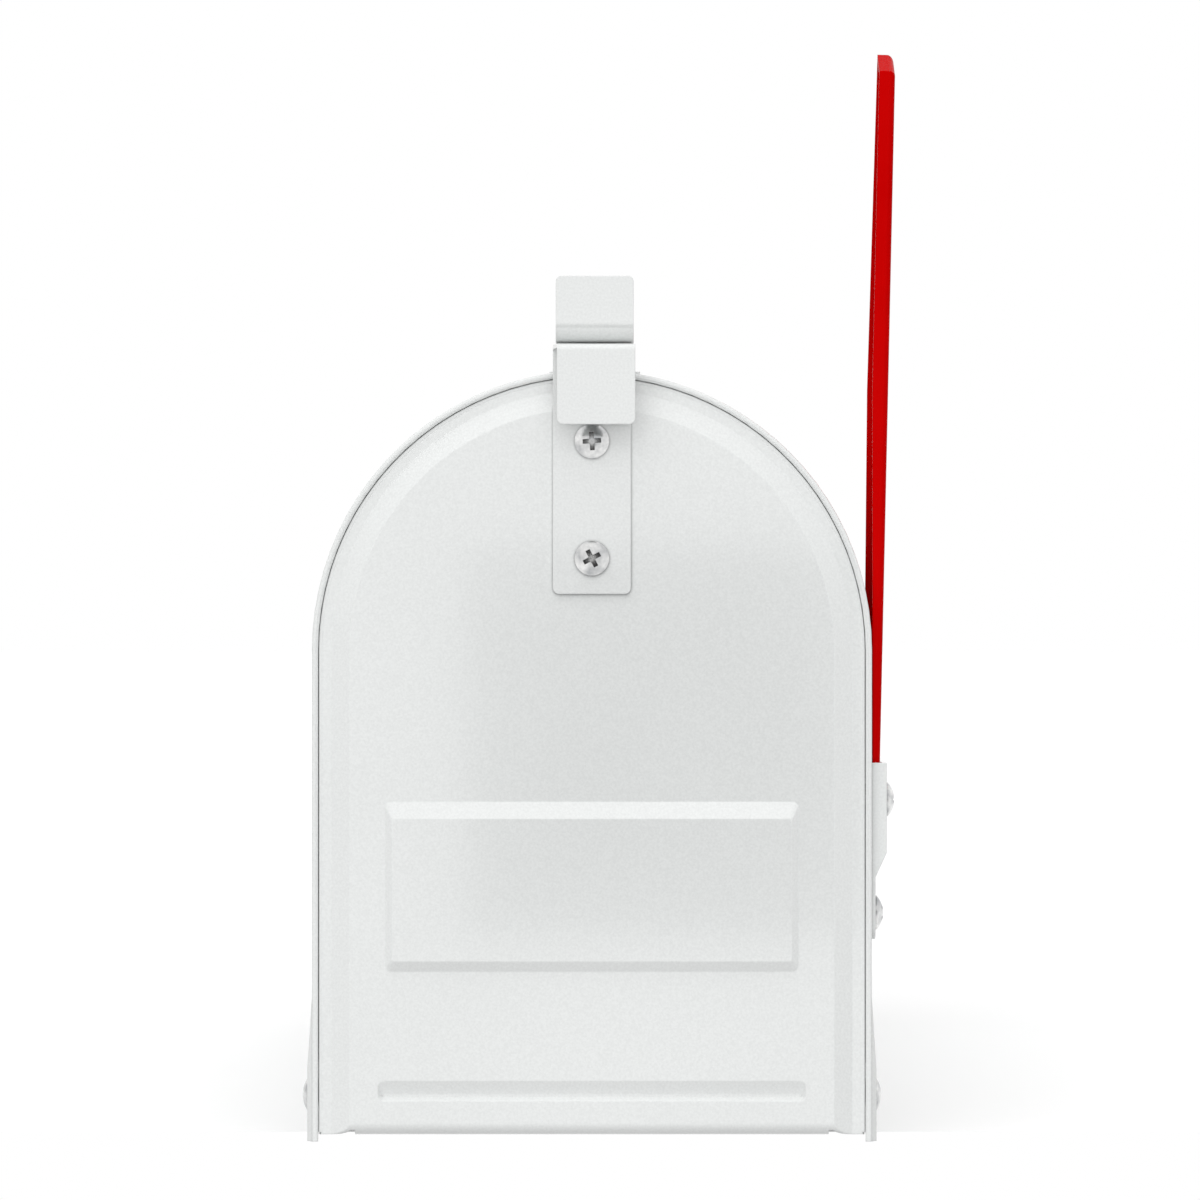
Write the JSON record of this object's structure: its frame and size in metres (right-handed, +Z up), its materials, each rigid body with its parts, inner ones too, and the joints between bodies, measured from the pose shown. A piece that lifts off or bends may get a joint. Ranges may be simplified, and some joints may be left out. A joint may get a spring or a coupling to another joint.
{
  "type": "rural mailbox",
  "caption": "Arched sheet-steel roadside mailbox with a drop-down front door, a strap latch, a roof catch and a red signal flag on its right-hand wall.",
  "frame": {"origin": "on the ground under the middle of the box's overall length and width", "axes": "+X towards the flag's side, +Y from the door to the rear, +Z up"},
  "size_m": [0.1692, 0.488, 0.3105],
  "materials": {
    "white_paint": "white powder coat, satin, fine grain",
    "red_paint": "glossy red enamel",
    "zinc_plate": "bright zinc plate"
  },
  "bodies": {
    "box": {"body_shell": "white_paint", "floor_pan": "white_paint", "rear_panel": "white_paint", "roof_catch": "white_paint", "catch_screws": "zinc_plate", "catch_nuts": "zinc_plate", "hinge_rivets": "zinc_plate", "hinge_washers": "zinc_plate", "flag_bracket": "white_paint", "flag_pivot_screw": "zinc_plate", "flag_pivot_nut": "zinc_plate", "flag_spring": "zinc_plate", "bracket_screw": "zinc_plate", "bracket_nut": "zinc_plate"},
    "door": {"door_panel": "white_paint", "door_latch": "white_paint", "latch_screws": "zinc_plate", "latch_nuts": "zinc_plate"},
    "flag": {"flag": "red_paint"}
  },
  "joints": [
    {"name": "door_hinge", "type": "hinge", "parent": "box", "child": "door", "pos_m": [0, -0.2245, 0.0128], "axis": [1, 0, 0], "range_deg": [0, 100]},
    {"name": "flag_pivot", "type": "hinge", "parent": "box", "child": "flag", "pos_m": [0.082, -0.213, 0.0965], "axis": [-1, 0, 0], "range_deg": [0, 90]}
  ]
}
